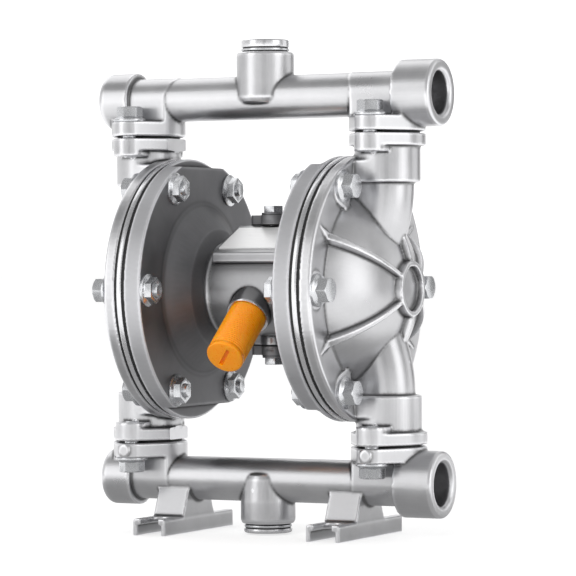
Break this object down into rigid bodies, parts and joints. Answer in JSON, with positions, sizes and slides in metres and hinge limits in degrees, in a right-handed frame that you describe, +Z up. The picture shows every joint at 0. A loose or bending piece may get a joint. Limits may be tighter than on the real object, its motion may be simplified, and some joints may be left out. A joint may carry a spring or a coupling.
{
  "type": "air-operated double diaphragm pump",
  "caption": "Small cast aluminium double diaphragm pump with stacked manifolds, two round chambers, slotted feet and an orange plug in the air inlet.",
  "frame": {"origin": "on the floor, under the middle of the shaft between the two chambers", "axes": "+X along the shaft and manifolds towards the open ports, -Y to the front with the label pad and air inlet, +Z up"},
  "size_m": [0.1631, 0.116, 0.2171],
  "materials": {
    "cast_aluminium": "bead-blasted cast aluminium, fine grain, satin",
    "dark_cast_aluminium": "cast aluminium, satin, seen mostly in shade",
    "machined_aluminium": "turned aluminium",
    "label_metal": "bare brushed plate",
    "zinc_steel": "zinc-plated steel",
    "stainless_steel": "ground stainless steel",
    "black_rubber": "black nitrile rubber",
    "white_plastic": "white fluoropolymer",
    "orange_plastic": "orange polyethylene, finely threaded",
    "sintered_bronze": "sintered bronze, granular",
    "brass": "turned brass"
  },
  "bodies": {
    "pump": {"centre_body": "cast_aluminium", "label_plate": "label_metal", "valve_sleeve": "brass", "valve_cover_top": "dark_cast_aluminium", "valve_cover_bottom": "dark_cast_aluminium", "cover_gaskets": "black_rubber", "cover_bolts": "zinc_steel", "air_inlet_plug": "orange_plastic", "exhaust_silencer": "sintered_bronze", "shaft_bushes": "white_plastic", "shaft_seals": "black_rubber", "air_chamber_left": "dark_cast_aluminium", "air_chamber_right": "dark_cast_aluminium", "chamber_screws_left": "zinc_steel", "chamber_screws_right": "zinc_steel", "clamp_ring_left": "machined_aluminium", "clamp_ring_right": "machined_aluminium", "rim_gasket_left": "black_rubber", "rim_gasket_right": "black_rubber", "diaphragm_left": "black_rubber", "diaphragm_right": "black_rubber", "fluid_cap_left": "cast_aluminium", "fluid_cap_right": "cast_aluminium", "chamber_bolts_left": "zinc_steel", "chamber_bolts_right": "zinc_steel", "chamber_nuts_left": "zinc_steel", "chamber_nuts_right": "zinc_steel", "outlet_manifold": "cast_aluminium", "inlet_manifold": "cast_aluminium", "outlet_bolts": "zinc_steel", "inlet_bolts": "zinc_steel", "manifold_gaskets": "black_rubber", "outlet_seat_left": "stainless_steel", "outlet_seat_right": "stainless_steel", "inlet_seat_left": "stainless_steel", "inlet_seat_right": "stainless_steel", "outlet_cage_left": "white_plastic", "outlet_cage_right": "white_plastic", "inlet_cage_left": "white_plastic", "inlet_cage_right": "white_plastic", "outlet_plug": "machined_aluminium", "inlet_plug": "machined_aluminium", "plug_washers": "zinc_steel", "plug_seals": "black_rubber"},
    "shaft": {"diaphragm_shaft": "stainless_steel", "inner_washer_left": "machined_aluminium", "inner_washer_right": "machined_aluminium", "outer_washer_left": "machined_aluminium", "outer_washer_right": "machined_aluminium", "shaft_nut_left": "zinc_steel", "shaft_nut_right": "zinc_steel"},
    "pilot": {"pilot_rod": "stainless_steel"},
    "spool": {"valve_spool": "stainless_steel", "spool_seals": "black_rubber"},
    "outlet_ball_left": {"outlet_ball_left": "white_plastic"},
    "outlet_ball_right": {"outlet_ball_right": "white_plastic"},
    "inlet_ball_left": {"inlet_ball_left": "white_plastic"},
    "inlet_ball_right": {"inlet_ball_right": "white_plastic"}
  },
  "joints": [
    {"name": "shaft_slide", "type": "slide", "parent": "pump", "child": "shaft", "axis": [1, 0, 0], "range_m": [-0.005, 0.005], "deforming": ["diaphragm_left", "diaphragm_right"]},
    {"name": "pilot_slide", "type": "slide", "parent": "pump", "child": "pilot", "axis": [1, 0, 0], "range_m": [-0.0025, 0.0025]},
    {"name": "spool_slide", "type": "slide", "parent": "pump", "child": "spool", "axis": [0, 0, 1], "range_m": [0, 0.007]},
    {"name": "outlet_ball_left_lift", "type": "slide", "parent": "pump", "child": "outlet_ball_left", "axis": [0, 0, 1], "range_m": [0, 0.0037]},
    {"name": "outlet_ball_right_lift", "type": "slide", "parent": "pump", "child": "outlet_ball_right", "axis": [0, 0, 1], "range_m": [0, 0.0037]},
    {"name": "inlet_ball_left_lift", "type": "slide", "parent": "pump", "child": "inlet_ball_left", "axis": [0, 0, 1], "range_m": [0, 0.0037]},
    {"name": "inlet_ball_right_lift", "type": "slide", "parent": "pump", "child": "inlet_ball_right", "axis": [0, 0, 1], "range_m": [0, 0.0037]}
  ],
  "couplings": [
    {"joint": "pilot_slide", "follows": "shaft_slide", "ratio": 0.5}
  ]
}
